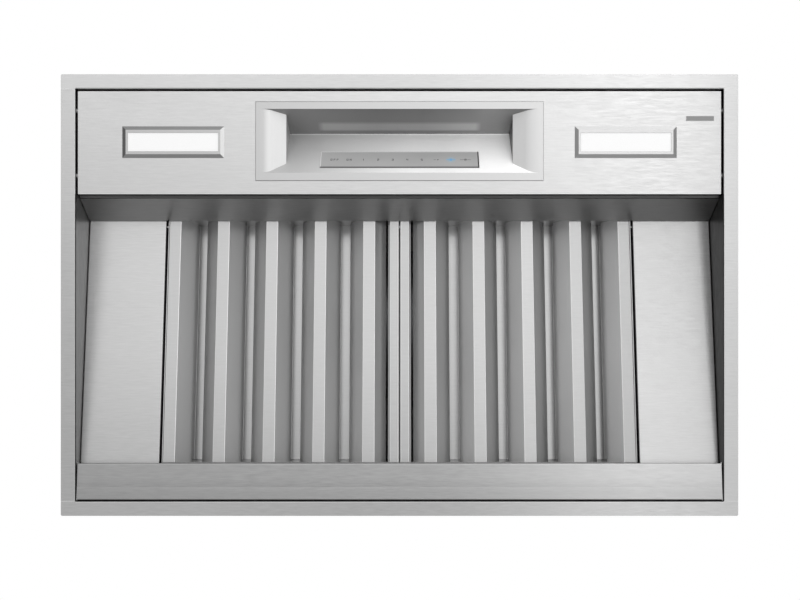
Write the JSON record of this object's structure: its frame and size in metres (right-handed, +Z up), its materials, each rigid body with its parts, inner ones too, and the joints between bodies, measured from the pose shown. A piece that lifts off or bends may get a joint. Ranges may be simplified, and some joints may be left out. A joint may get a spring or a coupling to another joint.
{
  "type": "range hood insert",
  "caption": "Flush range hood insert: folded steel liner with control fascia, lamps, swing-down baffle filters, grease tray, centrifugal blower and damped duct collar.",
  "frame": {"origin": "centre of the underside of the flange, the plane that seats against the cabinet's bottom edge and on which the part rests", "axes": "+X along the width to the user's right, +Z up towards the duct, +Y from the user towards the wall; the control fascia is at -Y"},
  "size_m": [0.8736, 0.5696, 0.369],
  "materials": {
    "body_steel": "brushed stainless steel, grain along the width",
    "zinc_steel": "zinc-coated steel, fine spangle",
    "fastener_steel": "zinc-plated steel, satin",
    "filter_steel": "brushed stainless steel",
    "pod_satin": "satin silver paint, smooth",
    "bezel_satin": "satin aluminium",
    "lens_white": "opal diffuser",
    "display_glass": "grey display window",
    "blank_plate": "bare grey plate",
    "board": "green circuit board",
    "white_plastic": "white moulded plastic",
    "black_plastic": "black moulded plastic",
    "lead_rubber": "grey-black cable sheath",
    "spring_steel": "bright spring steel",
    "motor_paint": "black painted steel",
    "motor_cast": "cast aluminium",
    "wheel_zinc": "zinc-coated steel",
    "shaft_steel": "ground steel"
  },
  "bodies": {
    "cabinet": {"badge_plate": "blank_plate", "capacitor": "black_plastic", "centre_bar": "zinc_steel", "control_pod": "pod_satin", "cover_screws": "fastener_steel", "damper_pin": "fastener_steel", "damper_seat": "zinc_steel", "display_glass": "display_glass", "duct_collar": "zinc_steel", "duct_collar_flange": "zinc_steel", "fascia_panel": "body_steel", "fascia_screws": "fastener_steel", "fascia_spacers": "fastener_steel", "filter_catches": "spring_steel", "front_rail": "body_steel", "front_shell": "body_steel", "hinge_centre_pin": "fastener_steel", "inlet_rings": "white_plastic", "junction_box": "zinc_steel", "junction_cover": "zinc_steel", "lamp_housings": "zinc_steel", "led_boards": "board", "left_filler_panel": "body_steel", "left_lamp_bezel": "bezel_satin", "left_lamp_lens": "lens_white", "left_shell": "body_steel", "motor_bracket": "zinc_steel", "motor_case": "motor_paint", "motor_front_bell": "motor_cast", "motor_rear_bell": "motor_cast", "power_board": "board", "power_box": "zinc_steel", "power_box_lid": "zinc_steel", "rear_rail": "zinc_steel", "rear_shell": "body_steel", "right_filler_panel": "body_steel", "right_lamp_bezel": "bezel_satin", "right_lamp_lens": "lens_white", "right_shell": "body_steel", "scroll_left_side": "zinc_steel", "scroll_right_side": "zinc_steel", "scroll_wrap": "zinc_steel", "shell_rivets": "fastener_steel", "top_cover": "zinc_steel", "touch_board": "board", "tray_clips": "spring_steel", "wiring_leads": "lead_rubber"},
    "filter_left": {"filter_left_frame": "filter_steel", "filter_left_lower_baffles": "filter_steel", "filter_left_upper_baffles": "filter_steel"},
    "filter_right": {"filter_right_frame": "filter_steel", "filter_right_lower_baffles": "filter_steel", "filter_right_upper_baffles": "filter_steel"},
    "grease_tray": {"grease_tray": "body_steel"},
    "blower_rotor": {"motor_shaft": "shaft_steel", "wheel_hub_plate": "wheel_zinc", "wheel_rings": "wheel_zinc", "wheel_blades": "wheel_zinc"},
    "damper_front": {"damper_front_flap": "zinc_steel"},
    "damper_rear": {"damper_rear_flap": "zinc_steel"}
  },
  "joints": [
    {"name": "filter_left_swing", "type": "hinge", "parent": "cabinet", "child": "filter_left", "pos_m": [-0.1558, -0.09216, 0.0723], "axis": [-1, 0, 0], "range_deg": [0, 75]},
    {"name": "filter_right_swing", "type": "hinge", "parent": "cabinet", "child": "filter_right", "pos_m": [0.1558, -0.09216, 0.0723], "axis": [-1, 0, 0], "range_deg": [0, 75]},
    {"name": "grease_tray_drop", "type": "slide", "parent": "cabinet", "child": "grease_tray", "axis": [0, 0, -1], "range_m": [0, 0.06]},
    {"name": "blower_spin", "type": "hinge", "parent": "cabinet", "child": "blower_rotor", "pos_m": [0, 0.035, 0.21899], "axis": [1, 0, 0], "continuous": true},
    {"name": "damper_front_swing", "type": "hinge", "parent": "cabinet", "child": "damper_front", "pos_m": [0, 0.10232, 0.335], "axis": [-1, 0, 0], "range_deg": [0, 75]},
    {"name": "damper_rear_swing", "type": "hinge", "parent": "cabinet", "child": "damper_rear", "pos_m": [0, 0.10232, 0.335], "axis": [1, 0, 0], "range_deg": [0, 75]}
  ]
}
